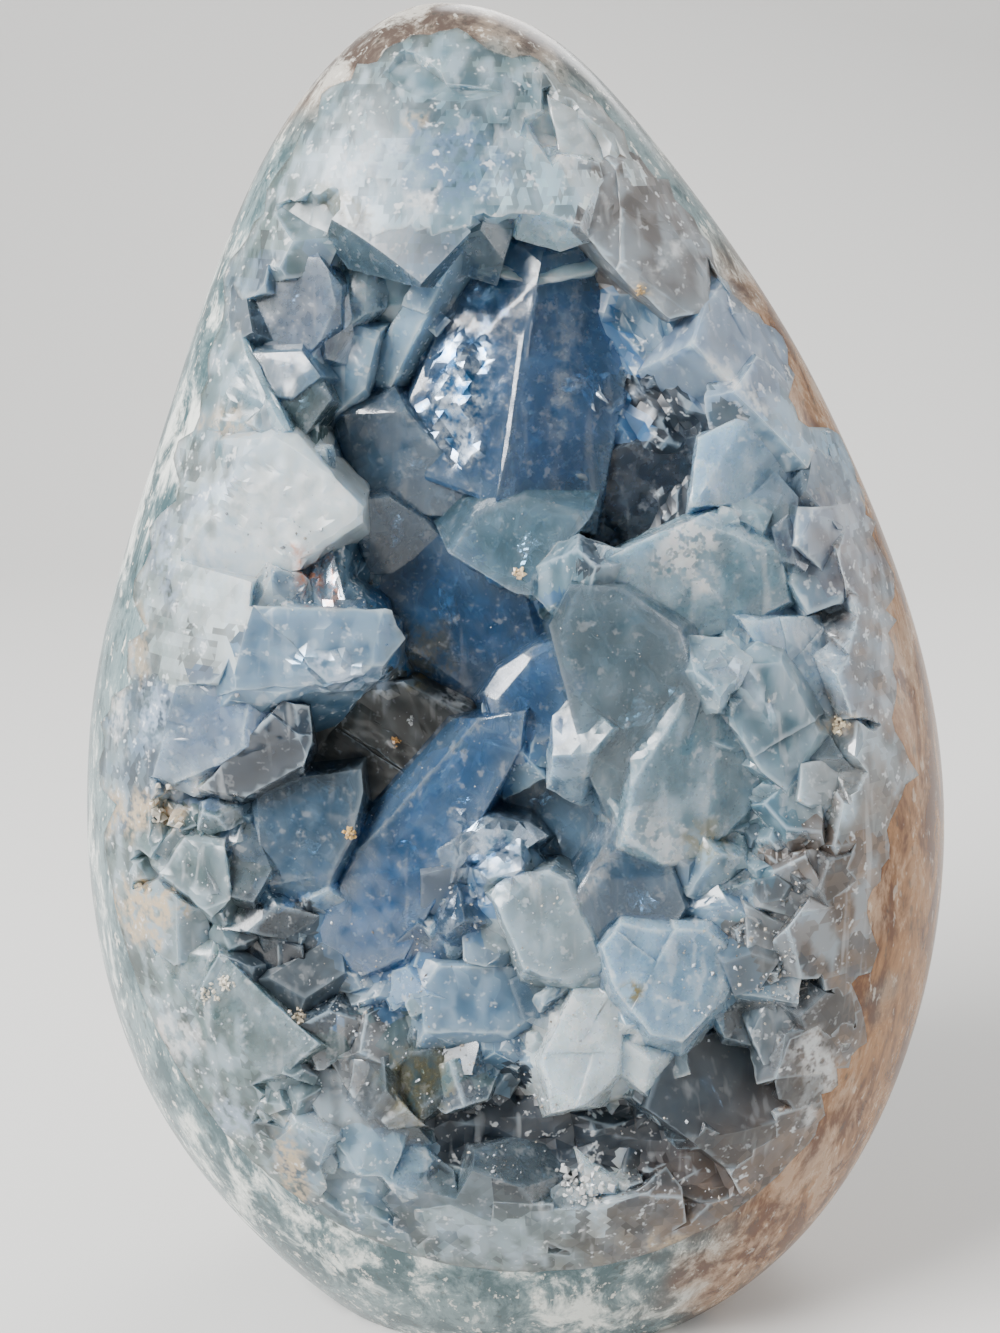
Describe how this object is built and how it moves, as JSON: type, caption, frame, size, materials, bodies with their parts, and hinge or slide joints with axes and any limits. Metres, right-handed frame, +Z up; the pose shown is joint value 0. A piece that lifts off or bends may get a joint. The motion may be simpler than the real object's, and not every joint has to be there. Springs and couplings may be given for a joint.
{
  "type": "celestite crystal cluster",
  "caption": "Egg-shaped polished block of celestite matrix with a flat foot, its open front lined with clear to milky blue crystals.",
  "frame": {"origin": "centre of the bounding box at the flat foot", "axes": "+Z up to the crown, -Y towards the side with the open hollow of crystals"},
  "size_m": [0.0862, 0.0609, 0.13],
  "materials": {
    "matrix": "polished, mottled grey, tan and blue-grey stone",
    "crystal": "clear to milky blue crystal with flat faces, silvery cleavage patches and tan crumbs"
  },
  "bodies": {
    "root": {"polished_matrix": "matrix", "crystal_crust": "crystal"}
  },
  "joints": []
}
